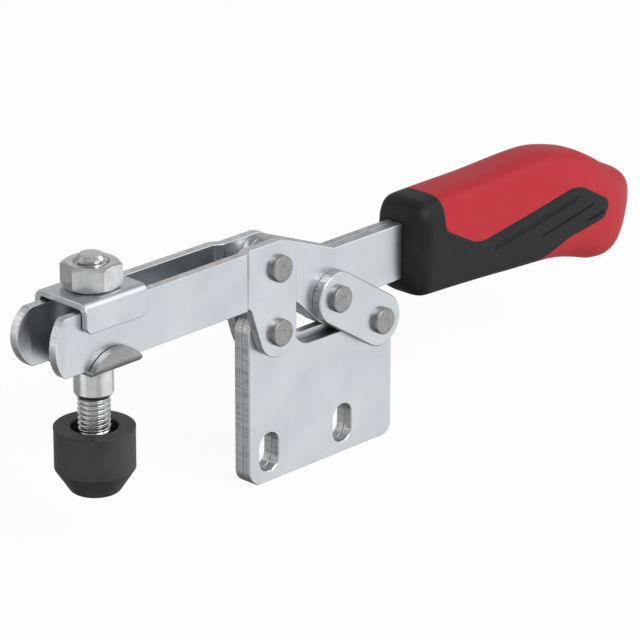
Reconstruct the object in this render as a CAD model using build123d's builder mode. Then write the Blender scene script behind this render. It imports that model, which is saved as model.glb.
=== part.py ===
"""A horizontal toggle clamp with an open two-strip arm, a vertical base and a moulded handle.

All sizes are in millimetres. +X runs from the clamping arm towards the handle, +Z is up, and the
origin lies on the clamp's mid-plane, halfway between the two fixing slots of the base. The clamp
is modelled closed: arm level, handle down, the toggle on its dead centre.
"""
import os
from math import asin, cos, degrees, radians, sin, tan

from build123d import *

os.makedirs("parts", exist_ok=True)

# Sheet metal, in layers on both sides of the mid-plane
sheet = 2.5                # every pressed plate of the linkage
plate_gap = 0.2            # between the two plates of the base, and of the lever
play = 0.1                 # running clearance between two layers that turn on each other
edge_round = 0.25          # tumbled edges of the pressed plates

# Base: two plates side by side, slotted for two screws
slot_spacing = 26.0
slot_width = 6.5
slot_height = 10.0
base_front = 6.8           # front slot to the front edge
base_rear = 17.8           # rear slot to the rear edge
base_foot = 7.8            # slot centres to the bottom edge
front_corner = 4.0         # rounding of the bottom corners
rear_corner = 2.8
tower_round = 6.5          # rounding over the arm's pivot
notch_depth = 7.1          # floor of the notch below the arm's pivot
notch_round = 6.2
notch_front = 7.7          # arm's pivot to the notch
far_notch_depth = 4.9      # the far plate's notch leaves only room for the lever
far_notch_front = 8.9
link_tower = 6.5           # rounding round the link's pivot

# Pivots
arm_pivot_ahead = 1.0      # arm's pivot behind the front slot
arm_pivot_height = 32.1    # arm's pivot above the slots
lever_pivot_rise = 16.6    # arm-to-lever pivot above the arm's pivot
link_pivot_back = 36.3     # link's pivot behind the arm's pivot
link_pivot_drop = 7.0      # link's pivot below the arm's pivot
lever_reach = 25.0         # arm-to-lever pivot to lever-to-link pivot
pin_radius = 2.5
pin_head_radius = 3.4
pin_head_height = 1.5
pin_head_chamfer = 0.35
bush_wall = 1.0
bush_clearance = 0.05      # radial, pin in bush

# Motion: the arm opens by this angle, and the link and the lever turn with it
arm_opening = 80.0
link_ratio = 1.0           # link's turn for each degree of the arm
lever_ratio = 1.6          # lever's turn against the link for each degree of the arm
open_pivot_clearance = 0.15

# Arm: two strips that run side by side and open out towards the front
arm_low = 8.9              # lower edge above the arm's pivot
arm_depth = 14.75          # height of the strips
cheek_back = 6.0           # arm's pivot to the cheek's rear edge
cheek_round = 6.0
cheek_foot = 6.4           # rounding below the arm's pivot
cheek_slope_top = 9.8      # where the cheek's front slope meets the strip, ahead of the pivot
cheek_hollow = 2.5
joggle_ahead = 11.0        # arm's pivot to the joggle
joggle_run = 2.0
spindle_gap = 8.2          # between the strips just ahead of the joggle
spread = 0.35              # each strip opens out towards the front by this many degrees
flare_ahead = 1.2          # saddle's foremost place to where the tips turn outwards
flare_angle = 14.0
tip_bulge = 3.6            # how far the rounded tip runs on past that
tip_top_round = 1.0
tip_low_round = 2.6

# Lever: two plates that reach into the handle
lever_lobe = 6.9           # rounding round the arm-to-lever pivot
knuckle_lobe = 7.2         # rounding round the lever-to-link pivot
knee_back = 22.0           # arm's pivot to the knee in the upper edge
knee_height = 15.3         # above the arm's pivot
heel_back = 9.0            # arm's pivot to the corner in the lower edge
heel_height = 4.3
tang_low = 0.45
tang_end = 51.5            # grip's front face to the end of the lever inside the handle

# Link
link_round = 6.8

# Spindle and its seats
spindle_ahead = 56.7       # arm's pivot to the spindle
spindle_radius = 3.95      # over the thread's crests
spindle_clearance = 0.05
tip_height = 34.1          # spindle's upper end above the arm's pivot
tip_chamfer = 1.2
head_flats = 13.0
head_height = 5.3
saddle_length = 19.8
saddle_sheet = 1.8
saddle_lift = 0.7          # its bends ride on the strips and hold it this far up
saddle_skirt = 5.0         # how far its sides reach below the strips' upper edge
saddle_bend = 1.0
saddle_corner = 2.0
saddle_hole_clearance = 0.25
seat_clearance = 0.15      # saddle's sides to the strips
seat_play = 0.05           # lower seat to the strips' lower edges
seat_radius = 11.7         # lower seat, seen from above
slide_forward = 4.0        # the clamping screw's travel along the arm from where it is shown
wing_radius = 9.3          # rounded outline of the lower seat's wings
wing_rise = 4.0            # wings above the strips' lower edge
wing_corner = 1.2          # rounding of the wings' lower corners
collar_radius = 4.8
collar_length = 8.3        # below the lower seat
collar_chamfer = 0.7
collar_chamfer_height = 1.2
nut_flats = 12.8
nut_height = 6.3
nut_chamfer_angle = 30.0
nut_bearing = 11.7         # diameter of the nut's flat ends
nut_turn = 10.5            # how far the nut is turned from square
nut_countersink = 0.45     # at both ends of its bore

# Pressure cap
cap_radius = 9.85
cap_rim = 8.9              # cap's rim below the arm's pivot
cap_wall_height = 10.5
cap_cone_height = 5.9
cap_foot_radius = 5.9
cap_recess_radius = 5.7
cap_recess_depth = 5.4
cap_edge_round = 0.6

# Handle, moulded over the lever's tang
grip_front = 46.5          # arm's pivot to the grip's front face
skin = 2.2                 # depth of the soft grip over the hard body

# Sections of the grip: place behind its front face, lower and upper edge above the arm's pivot,
# half-width, corner
grip_sections = [
    (0.0, -2.6, 18.2, 6.0, 4.5),
    (1.5, -4.2, 20.0, 7.6, 5.5),
    (6.0, -5.0, 20.7, 8.5, 6.5),
    (28.5, -6.4, 21.6, 9.2, 7.0),
    (47.5, -7.5, 22.2, 9.8, 7.5),
    (59.5, -8.9, 20.3, 10.1, 8.0),
    (69.5, -11.4, 16.9, 10.0, 8.0),
    (79.1, -12.7, 11.6, 8.8, 7.5),
    (84.5, -8.0, 7.5, 5.6, 5.0),
    (86.6, -2.0, 3.6, 2.4, 2.2),
]

# Outline of the soft grip in the side view, from the same two places, and the rounding of its
# corners from the first on
soft_outline = [
    (9.5, 12.4),
    (21.8, 5.9),
    (59.0, 12.6),
    (72.3, 4.9),
    (69.5, 0.8),
    (56.0, -1.5),
    (41.5, -10.0),
    (-6.5, -10.0),
    (-6.5, 26.0),
    (9.5, 26.0),
]
soft_rounds = [3.5, 10.0, 12.0, 2.4, 2.4, 14.0]
grip_reach = 12.0          # half-width that clears the grip

slack = 0.01               # tells one level of the outlines from another

# Pieces that follow from the sizes above
front_slot = (-slot_spacing / 2, 0)
rear_slot = (slot_spacing / 2, 0)
arm_pivot = Vector(front_slot[0] + arm_pivot_ahead, arm_pivot_height)
lever_pivot = arm_pivot + Vector(0, lever_pivot_rise)
link_pivot = arm_pivot + Vector(link_pivot_back, -link_pivot_drop)
toggle_line = link_pivot - lever_pivot
knuckle = lever_pivot + toggle_line.normalized() * lever_reach
half_pair = plate_gap / 2 + sheet
cheek_inner = half_pair + play
cheek_outer = cheek_inner + sheet
bush_radius = pin_radius + bush_clearance + bush_wall
arm_floor = arm_pivot.Y + arm_low
arm_roof = arm_floor + arm_depth
spindle_x = arm_pivot.X - spindle_ahead
travel_front = spindle_x - saddle_length / 2 - slide_forward
grip_face = arm_pivot.X + grip_front


def turned(point: Vector, centre: Vector, angle: float) -> Vector:
    """Turn a point of the side view about a centre by an angle in degrees, rear side rising."""
    away = point - centre
    c, s = cos(radians(angle)), sin(radians(angle))
    return centre + Vector(away.X * c - away.Y * s, away.X * s + away.Y * c)


def corner_at(sketch: BuildSketch, x: float, z: float) -> Vertex:
    """The corner of an outline that lies nearest to a point of it."""
    return sketch.vertices().sort_by_distance((x, z))[0]


def pin_track(steps: int = 10) -> list[Vector]:
    """Places of the arm's pin in the closed lever's outline while the linkage opens."""
    track = []
    for step in range(steps + 1):
        arm_turn = arm_opening * step / steps
        link_turn = link_ratio * arm_turn
        lever_turn = lever_ratio * arm_turn - link_turn
        pin = turned(lever_pivot, arm_pivot, -arm_turn)
        joint = turned(knuckle, link_pivot, -link_turn)
        track.append(turned(pin - joint + knuckle, knuckle, -lever_turn))
    return track


# Base plates, the far one with a shallower notch
base_left = front_slot[0] - base_front
base_right = rear_slot[0] + base_rear
arm_tower_top = arm_pivot.Y + tower_round


def base_plate(notch_floor: float, notch_left: float) -> Part:
    """One plate of the base, on the near side, with the floor and the front wall of its notch."""
    with BuildPart() as plate:
        with BuildSketch(Plane.XZ.offset(plate_gap / 2)) as outline:
            with BuildLine():
                Polyline(
                    (base_left, -base_foot),
                    (base_right, -base_foot),
                    (base_right, link_pivot.Y),
                    (link_pivot.X, link_pivot.Y),
                    (link_pivot.X, notch_floor),
                    (notch_left, notch_floor),
                    (notch_left, arm_tower_top),
                    (base_left, arm_tower_top),
                    close=True,
                )
            make_face()
            fillet(outline.vertices().group_by(Axis.Y)[-1], tower_round)
            fillet(corner_at(outline, notch_left, notch_floor), min(notch_round, arm_pivot.Y - notch_floor - slack))
            fillet(corner_at(outline, base_left, -base_foot), front_corner)
            fillet(corner_at(outline, base_right, -base_foot), rear_corner)
            with Locations((link_pivot.X, link_pivot.Y)):
                Circle(link_tower)
            with Locations(front_slot, rear_slot):
                SlotOverall(slot_height, slot_width, rotation=90, mode=Mode.SUBTRACT)
            with Locations((arm_pivot.X, arm_pivot.Y), (link_pivot.X, link_pivot.Y)):
                Circle(bush_radius, mode=Mode.SUBTRACT)
        extrude(amount=sheet)
        chamfer(plate.faces().sort_by(Axis.Y)[0].edges(), edge_round)
    return plate.part


deep_notched = base_plate(arm_pivot.Y - notch_depth, arm_pivot.X + notch_front)
shallow_notched = base_plate(arm_pivot.Y - far_notch_depth, arm_pivot.X + far_notch_front)

with BuildPart() as base_plate_near:
    add(deep_notched)

with BuildPart() as base_plate_far:
    mirror(shallow_notched, about=Plane.XZ)

base_plate_near.part.label = "base_plate_near"
export_step(base_plate_near.part, "parts/base_plate_near.step")
base_plate_far.part.label = "base_plate_far"
export_step(base_plate_far.part, "parts/base_plate_far.step")

# Arm strips: cheek over the pivots, joggle, long open run and turned-out tip
cheek_rear = arm_pivot.X + cheek_back
joggle_rear = arm_pivot.X - joggle_ahead
joggle_front = joggle_rear - joggle_run
flare_rear = travel_front - flare_ahead
flare_front = flare_rear - 2 * tip_bulge
strip_inner = spindle_gap / 2
tip_inner = strip_inner + (joggle_front - flare_rear) * tan(radians(spread))
flare_inner = tip_inner + (flare_rear - flare_front) * tan(radians(flare_angle))
tip_radius = ((arm_depth / 2) ** 2 + tip_bulge**2) / (2 * tip_bulge)

# The cheek's front slope runs from the strip's lower edge down to touch the rounding below the pivot
slope_top = Vector(arm_pivot.X - cheek_slope_top, arm_floor)
slope_reach = arm_pivot - slope_top
slope_swing = degrees(asin(cheek_foot / slope_reach.length))
slope_length = slope_reach.length * cos(radians(slope_swing))
slope_foot = slope_top + turned(slope_reach, Vector(0, 0), -slope_swing).normalized() * slope_length

with BuildPart() as arm_strip_near:
    with BuildSketch(Plane.XY.offset(arm_pivot.Y - cheek_foot)):
        with BuildLine():
            inner_side = Polyline(
                (cheek_rear, -cheek_inner),
                (joggle_rear, -cheek_inner),
                (joggle_front, -strip_inner),
                (flare_rear, -tip_inner),
                (flare_front, -flare_inner),
            )
            offset(inner_side, amount=sheet, side=Side.LEFT)
        make_face()
    extrude(amount=arm_roof - arm_pivot.Y + cheek_foot)
    with BuildSketch(Plane.XZ) as side_view:
        with BuildLine():
            Polyline(
                (flare_rear, arm_floor),
                (slope_top.X, slope_top.Y),
                (slope_foot.X, slope_foot.Y),
                (arm_pivot.X, arm_pivot.Y),
                (cheek_rear, arm_pivot.Y),
                (cheek_rear, arm_roof),
                (flare_rear, arm_roof),
            )
            RadiusArc((flare_rear, arm_roof), (flare_rear, arm_floor), -tip_radius)
        make_face()
        fillet(corner_at(side_view, cheek_rear, arm_roof), cheek_round)
        fillet(corner_at(side_view, slope_top.X, slope_top.Y), cheek_hollow)
        fillet(corner_at(side_view, flare_rear, arm_roof), tip_top_round)
        fillet(corner_at(side_view, flare_rear, arm_floor), tip_low_round)
        with Locations((arm_pivot.X, arm_pivot.Y)):
            Circle(cheek_foot)
        with Locations((arm_pivot.X, arm_pivot.Y), (lever_pivot.X, lever_pivot.Y)):
            Circle(pin_radius, mode=Mode.SUBTRACT)
    extrude(amount=flare_inner + 2 * sheet, mode=Mode.INTERSECT)

with BuildPart() as arm_strip_far:
    mirror(arm_strip_near.part, about=Plane.XZ)

arm_strip_near.part.label = "arm_strip_near"
export_step(arm_strip_near.part, "parts/arm_strip_near.step")
arm_strip_far.part.label = "arm_strip_far"
export_step(arm_strip_far.part, "parts/arm_strip_far.step")

# Lever plates
knee = (arm_pivot.X + knee_back, arm_pivot.Y + knee_height)
heel = (arm_pivot.X + heel_back, arm_pivot.Y + heel_height)
tang_rear = grip_face + tang_end
tang_floor = arm_pivot.Y + tang_low

with BuildPart() as lever_plate_near:
    with BuildSketch(Plane.XZ.offset(plate_gap / 2)):
        with BuildLine():
            Line(heel, knee)
        with Locations((lever_pivot.X, lever_pivot.Y)):
            Circle(lever_lobe)
        make_hull()
    extrude(amount=sheet)
    with BuildSketch(Plane.XZ.offset(plate_gap / 2)):
        with BuildLine():
            Line(heel, knee)
        with Locations((knuckle.X, knuckle.Y)):
            Circle(knuckle_lobe)
        make_hull()
    extrude(amount=sheet)
    with BuildSketch(Plane.XZ.offset(plate_gap / 2)):
        with BuildLine():
            Polyline(
                (knuckle.X, tang_floor),
                (tang_rear, tang_floor),
                (tang_rear, knee[1]),
                (knuckle.X, knee[1]),
                close=True,
            )
        make_face()
    extrude(amount=sheet)
    chamfer(lever_plate_near.faces().sort_by(Axis.Y)[0].edges(), edge_round)
    with BuildSketch(Plane.XZ.offset(plate_gap / 2)):
        with Locations(*[(place.X, place.Y) for place in pin_track()]):
            Circle(pin_radius + open_pivot_clearance)
        make_hull()
        with Locations((knuckle.X, knuckle.Y)):
            Circle(bush_radius)
    extrude(amount=sheet, mode=Mode.SUBTRACT)

with BuildPart() as lever_plate_far:
    mirror(lever_plate_near.part, about=Plane.XZ)

lever_plate_near.part.label = "lever_plate_near"
export_step(lever_plate_near.part, "parts/lever_plate_near.step")
lever_plate_far.part.label = "lever_plate_far"
export_step(lever_plate_far.part, "parts/lever_plate_far.step")

# Links
with BuildPart() as link_near:
    with BuildSketch(Plane.XZ.offset(cheek_inner)):
        with Locations((knuckle.X, knuckle.Y), (link_pivot.X, link_pivot.Y)):
            Circle(link_round)
        make_hull()
        with Locations((knuckle.X, knuckle.Y), (link_pivot.X, link_pivot.Y)):
            Circle(pin_radius, mode=Mode.SUBTRACT)
    extrude(amount=sheet)
    chamfer(link_near.faces().sort_by(Axis.Y)[0].outer_wire().edges(), edge_round)

with BuildPart() as link_far:
    mirror(link_near.part, about=Plane.XZ)

link_near.part.label = "link_near"
export_step(link_near.part, "parts/link_near.step")
link_far.part.label = "link_far"
export_step(link_far.part, "parts/link_far.step")

# Pivot pins, headed over both cheeks
pivots = {
    "arm_pin": arm_pivot,
    "lever_pin": lever_pivot,
    "knuckle_pin": knuckle,
    "link_pin": link_pivot,
}
for pin_name, pivot in pivots.items():
    with BuildPart() as pin:
        with BuildSketch(Plane.XZ):
            with Locations((pivot.X, pivot.Y)):
                Circle(pin_radius)
        extrude(amount=cheek_outer, both=True)
        for face_of_cheek in (Plane.XZ.offset(cheek_outer), Plane.XZ.offset(-cheek_outer - pin_head_height)):
            with BuildSketch(face_of_cheek):
                with Locations((pivot.X, pivot.Y)):
                    Circle(pin_head_radius)
            extrude(amount=pin_head_height)
        ends = pin.faces().filter_by(Axis.Y).sort_by(Axis.Y)
        chamfer((ends[0].edges(), ends[-1].edges()), pin_head_chamfer)
    pin.part.label = pin_name
    export_step(pin.part, f"parts/{pin_name}.step")

# Bushes that the pins turn in, pressed into the plates between the cheeks
bushed_pivots = {
    "arm_bush": arm_pivot,
    "knuckle_bush": knuckle,
    "link_bush": link_pivot,
}
for bush_name, pivot in bushed_pivots.items():
    with BuildPart() as bush:
        with BuildSketch(Plane.XZ):
            with Locations((pivot.X, pivot.Y)):
                Circle(bush_radius)
                Circle(pin_radius + bush_clearance, mode=Mode.SUBTRACT)
        extrude(amount=half_pair, both=True)
    bush.part.label = bush_name
    export_step(bush.part, f"parts/{bush_name}.step")

# Upper saddle: a channel that rides on the strips' upper edges
seat_inner = strip_inner + (joggle_front - travel_front) * tan(radians(spread)) + sheet + seat_clearance
seat_outer = seat_inner + saddle_sheet
saddle_under = arm_roof + saddle_lift
saddle_top = saddle_under + saddle_sheet
skirt_foot = arm_roof - saddle_skirt

with BuildPart() as upper_saddle:
    with BuildSketch(Plane.YZ.offset(spindle_x - saddle_length / 2)) as section:
        with BuildLine():
            Polyline(
                (-seat_inner - saddle_sheet, skirt_foot),
                (-seat_inner - saddle_sheet, saddle_top),
                (seat_outer, saddle_top),
                (seat_outer, skirt_foot),
                (seat_inner, skirt_foot),
                (seat_inner, saddle_under),
                (-seat_inner, saddle_under),
                (-seat_inner, skirt_foot),
                close=True,
            )
        make_face()
        fillet(section.vertices().group_by(Axis.Y)[-1], saddle_bend + saddle_sheet)
        fillet(corner_at(section, -seat_inner, saddle_under), saddle_bend)
        fillet(corner_at(section, seat_inner, saddle_under), saddle_bend)
    extrude(amount=saddle_length)
    skirt_edges = upper_saddle.edges().filter_by(Axis.Y).group_by(Axis.Z)[0]
    fillet(skirt_edges, saddle_corner)
    with BuildSketch(Plane.XY.offset(saddle_under)):
        with Locations((spindle_x, 0)):
            Circle(spindle_radius + saddle_hole_clearance)
    extrude(amount=saddle_sheet, mode=Mode.SUBTRACT)

upper_saddle.part.label = "upper_saddle"
export_step(upper_saddle.part, "parts/upper_saddle.step")

# Lower seat: a round washer under the strips, with two sides turned up as wings
seat_top = arm_floor - seat_play
seat_foot = seat_top - saddle_sheet
wing_top = arm_floor + wing_rise

with BuildPart() as lower_seat:
    with BuildSketch(Plane.YZ.offset(spindle_x - seat_radius)) as section:
        with BuildLine():
            Polyline(
                (-seat_outer, seat_foot),
                (seat_outer, seat_foot),
                (seat_outer, wing_top),
                (seat_inner, wing_top),
                (seat_inner, seat_top),
                (-seat_inner, seat_top),
                (-seat_inner, wing_top),
                (-seat_outer, wing_top),
                close=True,
            )
        make_face()
        fillet(section.vertices().group_by(Axis.Y)[0], saddle_bend + saddle_sheet)
    extrude(amount=2 * seat_radius)
    with BuildSketch(Plane.XY.offset(seat_foot)):
        with Locations((spindle_x, 0)):
            Circle(seat_radius)
            Circle(collar_radius, mode=Mode.SUBTRACT)
    extrude(amount=wing_top - seat_foot, mode=Mode.INTERSECT)
    with BuildSketch(Plane.XZ) as wing:
        with Locations((spindle_x, wing_top - wing_radius)):
            Circle(wing_radius)
        with Locations((spindle_x, seat_foot)):
            Rectangle(2 * wing_radius, 2 * wing_radius, align=(Align.CENTER, Align.MIN), mode=Mode.INTERSECT)
        fillet(wing.vertices(), wing_corner)
    extrude(amount=seat_outer, both=True, mode=Mode.INTERSECT)

lower_seat.part.label = "lower_seat"
export_step(lower_seat.part, "parts/lower_seat.step")

# Threaded collar, pressed into the lower seat
bore_radius = spindle_radius + spindle_clearance
collar_foot = seat_foot - collar_length

with BuildPart() as threaded_collar:
    with BuildSketch(Plane.XY.offset(collar_foot)):
        with Locations((spindle_x, 0)):
            Circle(collar_radius)
            Circle(bore_radius, mode=Mode.SUBTRACT)
    extrude(amount=seat_top - collar_foot)
    foot_edge = threaded_collar.edges().filter_by(GeomType.CIRCLE).group_by(Axis.Z)[0].sort_by(SortBy.RADIUS)[-1]
    chamfer(foot_edge, collar_chamfer_height, collar_chamfer)

threaded_collar.part.label = "threaded_collar"
export_step(threaded_collar.part, "parts/threaded_collar.step")

# Hexagon nut, chamfered at both ends
nut_foot = saddle_top
nut_top = nut_foot + nut_height
cone_run = nut_flats / 2 / cos(radians(30)) - nut_bearing / 2 + slack
cone_rise = cone_run * tan(radians(nut_chamfer_angle))

with BuildPart() as hex_nut:
    with BuildSketch(Plane.XY.offset(nut_foot)):
        with Locations((spindle_x, 0)):
            RegularPolygon(nut_flats / 2, 6, major_radius=False, rotation=nut_turn)
    extrude(amount=nut_height)
    with BuildSketch(Plane.XZ):
        with BuildLine():
            Polyline(
                (spindle_x + bore_radius + nut_countersink, nut_foot),
                (spindle_x + nut_bearing / 2, nut_foot),
                (spindle_x + nut_bearing / 2 + cone_run, nut_foot + cone_rise),
                (spindle_x + nut_bearing / 2 + cone_run, nut_top - cone_rise),
                (spindle_x + nut_bearing / 2, nut_top),
                (spindle_x + bore_radius + nut_countersink, nut_top),
                (spindle_x + bore_radius, nut_top - nut_countersink),
                (spindle_x + bore_radius, nut_foot + nut_countersink),
                close=True,
            )
        make_face()
    revolve(axis=Axis((spindle_x, 0, 0), (0, 0, 1)), mode=Mode.INTERSECT)

hex_nut.part.label = "hex_nut"
export_step(hex_nut.part, "parts/hex_nut.step")

# Pressure cap and the spindle, whose hexagon head is held inside the cap
cap_top = arm_pivot.Y - cap_rim
cap_wall_foot = cap_top - cap_wall_height
cap_foot = cap_wall_foot - cap_cone_height
head_top = cap_top - cap_recess_depth
spindle_tip = arm_pivot.Y + tip_height

with BuildPart() as spindle:
    with BuildSketch(Plane.XY.offset(head_top - head_height)):
        with Locations((spindle_x, 0)):
            RegularPolygon(head_flats / 2, 6, major_radius=False)
    extrude(amount=head_height)
    with BuildSketch(Plane.XY.offset(head_top)):
        with Locations((spindle_x, 0)):
            Circle(spindle_radius)
    extrude(amount=spindle_tip - head_top)
    chamfer(spindle.faces().sort_by(Axis.Z)[-1].edges(), tip_chamfer)

spindle.part.label = "spindle"
export_step(spindle.part, "parts/spindle.step")

with BuildPart() as pressure_cap:
    with BuildSketch(Plane.XZ):
        with BuildLine():
            Polyline(
                (spindle_x, cap_foot),
                (spindle_x + cap_foot_radius, cap_foot),
                (spindle_x + cap_radius, cap_wall_foot),
                (spindle_x + cap_radius, cap_top),
                (spindle_x, cap_top),
                close=True,
            )
        make_face()
    revolve(axis=Axis((spindle_x, 0, 0), (0, 0, 1)))
    fillet(pressure_cap.edges().filter_by(GeomType.CIRCLE), cap_edge_round)
    with BuildSketch(Plane.XY.offset(head_top)):
        with Locations((spindle_x, 0)):
            Circle(cap_recess_radius)
    extrude(amount=cap_recess_depth, mode=Mode.SUBTRACT)
    with BuildSketch(Plane.XY.offset(head_top - head_height)):
        with Locations((spindle_x, 0)):
            RegularPolygon(head_flats / 2, 6, major_radius=False)
    extrude(amount=head_height, mode=Mode.SUBTRACT)

pressure_cap.part.label = "pressure_cap"
export_step(pressure_cap.part, "parts/pressure_cap.step")

# Handle: the whole moulded shape, and the hard core inside its soft skin
with BuildPart() as grip:
    for back, low, high, half_width, corner in grip_sections:
        with BuildSketch(Plane.YZ.offset(grip_face + back)):
            with Locations((0, arm_pivot.Y + (low + high) / 2)):
                RectangleRounded(2 * half_width, high - low, corner)
    loft()

with BuildPart() as core:
    for back, low, high, half_width, corner in grip_sections[2:-2]:
        with BuildSketch(Plane.YZ.offset(grip_face + back)):
            with Locations((0, arm_pivot.Y + (low + high) / 2)):
                RectangleRounded(2 * (half_width - skin), high - low - 2 * skin, corner - skin)
    loft()

with BuildPart() as front_region:
    with BuildSketch(Plane.XZ) as boundary:
        with BuildLine():
            Polyline(*[(grip_face + back, arm_pivot.Y + rise) for back, rise in soft_outline], close=True)
        make_face()
        for (back, rise), radius in zip(soft_outline, soft_rounds):
            fillet(corner_at(boundary, grip_face + back, arm_pivot.Y + rise), radius)
    extrude(amount=2 * grip_reach, both=True)

with BuildPart() as tang_pocket:
    with BuildSketch(Plane.XZ):
        with BuildLine():
            Polyline(
                (knuckle.X, tang_floor),
                (tang_rear, tang_floor),
                (tang_rear, knee[1]),
                (knuckle.X, knee[1]),
                close=True,
            )
        make_face()
    extrude(amount=half_pair, both=True)

with BuildPart() as soft_grip:
    add(grip.part)
    add(front_region.part, mode=Mode.INTERSECT)
    add(core.part, mode=Mode.SUBTRACT)
    add(tang_pocket.part, mode=Mode.SUBTRACT)

with BuildPart() as handle_body:
    add(grip.part)
    add(front_region.part, mode=Mode.SUBTRACT)
    add(core.part)
    add(tang_pocket.part, mode=Mode.SUBTRACT)

soft_grip.part.label = "soft_grip"
export_step(soft_grip.part, "parts/soft_grip.step")
handle_body.part.label = "handle_body"
export_step(handle_body.part, "parts/handle_body.step")
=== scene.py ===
"""A horizontal toggle clamp of plated steel with a two-colour moulded handle.

Each sub-assembly is a class that builds its pieces over the fixed frame of solids and dresses them:
pressed plates, riveted pivots, the clamping screw with its seats, nut and pressure cap, and the
handle. Lengths are in metres unless a class says millimetres. +X runs from the clamping arm towards
the handle, -Y is the near side and +Z is up.
"""
import logging
import math
from dataclasses import dataclass, field
from enum import Enum, IntEnum
from functools import reduce
from typing import Any, Iterable, Sequence

import bmesh
import bpy
from mathutils import Matrix, Vector


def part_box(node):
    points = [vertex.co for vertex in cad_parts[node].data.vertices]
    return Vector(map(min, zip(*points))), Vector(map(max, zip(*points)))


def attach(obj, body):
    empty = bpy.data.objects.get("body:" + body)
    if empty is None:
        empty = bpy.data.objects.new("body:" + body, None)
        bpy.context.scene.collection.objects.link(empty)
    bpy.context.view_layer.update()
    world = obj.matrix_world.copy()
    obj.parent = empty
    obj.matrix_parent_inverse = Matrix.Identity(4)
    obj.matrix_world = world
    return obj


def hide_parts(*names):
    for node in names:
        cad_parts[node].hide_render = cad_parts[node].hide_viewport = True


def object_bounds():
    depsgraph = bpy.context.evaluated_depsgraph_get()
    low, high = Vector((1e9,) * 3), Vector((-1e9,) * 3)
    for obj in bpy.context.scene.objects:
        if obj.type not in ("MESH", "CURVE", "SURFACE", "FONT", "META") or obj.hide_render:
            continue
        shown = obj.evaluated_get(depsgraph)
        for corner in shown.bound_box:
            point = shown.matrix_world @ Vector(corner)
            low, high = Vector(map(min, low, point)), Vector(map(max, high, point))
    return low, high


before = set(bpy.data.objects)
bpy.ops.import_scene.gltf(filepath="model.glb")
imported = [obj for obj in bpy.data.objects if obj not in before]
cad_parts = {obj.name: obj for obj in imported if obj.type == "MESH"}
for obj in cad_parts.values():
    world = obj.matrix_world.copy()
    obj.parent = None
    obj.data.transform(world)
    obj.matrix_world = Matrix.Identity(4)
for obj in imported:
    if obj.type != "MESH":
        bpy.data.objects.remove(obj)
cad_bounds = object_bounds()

log = logging.getLogger("toggle_clamp")

MM = 0.001
UNIT = (0.0, 1.0)
DRAWN = (160.0, 900.0, 2600.0)
STREAKED = (2600.0, 130.0, 2600.0)
WHITE = (1.0, 1.0, 1.0, 1.0)
TURNED = "turned"

# Angles in degrees from which an edge stays sharp
TUMBLED_SHARP = 50.0
TURNED_SHARP = 40.0

Colour = tuple[float, float, float]
Mix = tuple[tuple[str, float], ...]
Point2 = tuple[float, float]
Range = tuple[float, float]
SocketRow = tuple[str, str, Any]
Material = bpy.types.Material
Node = bpy.types.Node
Object = bpy.types.Object
Socket = bpy.types.NodeSocket
Tree = bpy.types.NodeTree


# Node trees
class Wiring:
    """Adds nodes to one tree and joins them as it goes."""

    def __init__(self, tree: Tree) -> None:
        """Keeps the tree that the nodes go into."""
        self.tree = tree

    def add(self, kind: str, inputs: dict[Any, Any] | None = None, **settings: Any) -> Node:
        """Adds a node, sets it up and fills its inputs.

        Args:
            kind: the node's type name.
            inputs: for each input's name or number, a value, or the output or node that feeds it.
            settings: the node's own properties.

        Returns:
            The new node.
        """
        node = self.tree.nodes.new(kind)
        for key, value in settings.items():
            setattr(node, key, value)
        for key, value in (inputs or {}).items():
            if isinstance(value, Node):
                value = value.outputs[0]
            if isinstance(value, Socket):
                self.tree.links.new(value, node.inputs[key])
            else:
                node.inputs[key].default_value = value
        return node

    def maths(self, operation: str, *operands: Any) -> Socket:
        """Returns the result of one arithmetic node."""
        return self.add("ShaderNodeMath", dict(enumerate(operands)), operation=operation).outputs[0]

    def mixed(self, patterns: dict[str, Socket], mix: Mix) -> Socket:
        """Returns the sum of some patterns, each times its share."""
        parts = (self.maths("MULTIPLY", patterns[name], share) for name, share in mix)
        return reduce(lambda first, second: self.maths("ADD", first, second), parts)

    def spread(self, value: Any, given: Range, wanted: Range = UNIT, **settings: Any) -> Socket:
        """Returns a value carried from one range onto another."""
        rows = dict(enumerate((value, *given, *wanted)))
        return self.add("ShaderNodeMapRange", rows, **settings).outputs[0]

    def noise(self, vector: Socket, scale: Any, detail: float, roughness: float = 0.5) -> Socket:
        """Returns a noise pattern."""
        return self.add("ShaderNodeTexNoise", {
            "Vector": vector, "Scale": scale, "Detail": detail, "Roughness": roughness}).outputs[0]

    def position(self) -> Sequence[Socket]:
        """Returns the three coordinates of a mesh's points."""
        place = self.add("GeometryNodeInputPosition").outputs[0]
        return self.add("ShaderNodeSeparateXYZ", {0: place}).outputs

    def layered(self, share: Any, under: Node, over: Node) -> Node:
        """Returns a shader mixed from two others."""
        return self.add("ShaderNodeMixShader", {0: share, 1: under, 2: over})


def empty_tree(holder: Material | bpy.types.World) -> Wiring:
    """Gives a material or world an empty node tree.

    Args:
        holder: the material or world.

    Returns:
        The wiring of its tree.
    """
    holder.use_nodes = True
    holder.node_tree.nodes.clear()
    return Wiring(holder.node_tree)


def add_sockets(tree: Tree, in_out: str, rows: Sequence[SocketRow]) -> None:
    """Gives a tree named sockets.

    Args:
        tree: the tree.
        in_out: INPUT or OUTPUT.
        rows: name, kind and default of each socket, where None leaves the default alone.
    """
    for label, kind, default in rows:
        socket = tree.interface.new_socket(label, in_out=in_out, socket_type=f"NodeSocket{kind}")
        if default is not None:
            socket.default_value = default


@dataclass(frozen=True)
class NoiseLayer:
    """One pattern of a shared effect. Its scale is a number or the name of one of the inputs."""

    name: str
    scale: float | str
    detail: float
    roughness: float
    stretched: bool = False


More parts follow.
